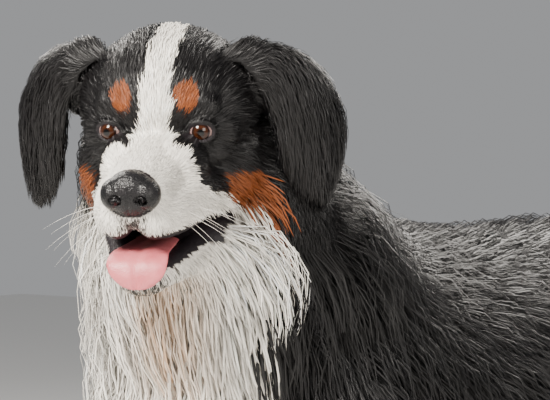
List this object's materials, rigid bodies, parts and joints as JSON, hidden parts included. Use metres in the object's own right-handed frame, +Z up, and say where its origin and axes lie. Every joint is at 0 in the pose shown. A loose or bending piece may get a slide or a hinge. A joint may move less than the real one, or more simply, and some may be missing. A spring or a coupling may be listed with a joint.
{
  "type": "bernese mountain dog model",
  "caption": "Still, life-size standing dog with a long tricolour coat, hanging ears and a plumed tail, head turned to its left, mouth a little open.",
  "frame": {"origin": "on the floor, under the middle of the model's box", "axes": "+Z up, the dog's body faces -Y and its left side is +X"},
  "size_m": [0.3766, 1.171, 0.8648],
  "materials": {
    "coat_black": "long glossy hair",
    "coat_face": "short dense hair",
    "coat_tan": "dense hair",
    "coat_white": "long soft hair",
    "nose_leather": "moist, pebbled",
    "eye": "wet gloss",
    "tongue": "moist"
  },
  "bodies": {
    "root": {"head": "coat_face", "jaw": "coat_white", "neck": "coat_white", "torso": "coat_black", "foreleg_left": "coat_tan", "foreleg_right": "coat_tan", "forefoot_left": "coat_white", "forefoot_right": "coat_white", "thigh_left": "coat_black", "thigh_right": "coat_black", "shank_left": "coat_tan", "shank_right": "coat_tan", "hindfoot_left": "coat_white", "hindfoot_right": "coat_white", "tail": "coat_black", "ear_left": "coat_black", "ear_right": "coat_black", "eye_left": "eye", "eye_right": "eye", "nose": "nose_leather", "tongue": "tongue"}
  },
  "joints": []
}
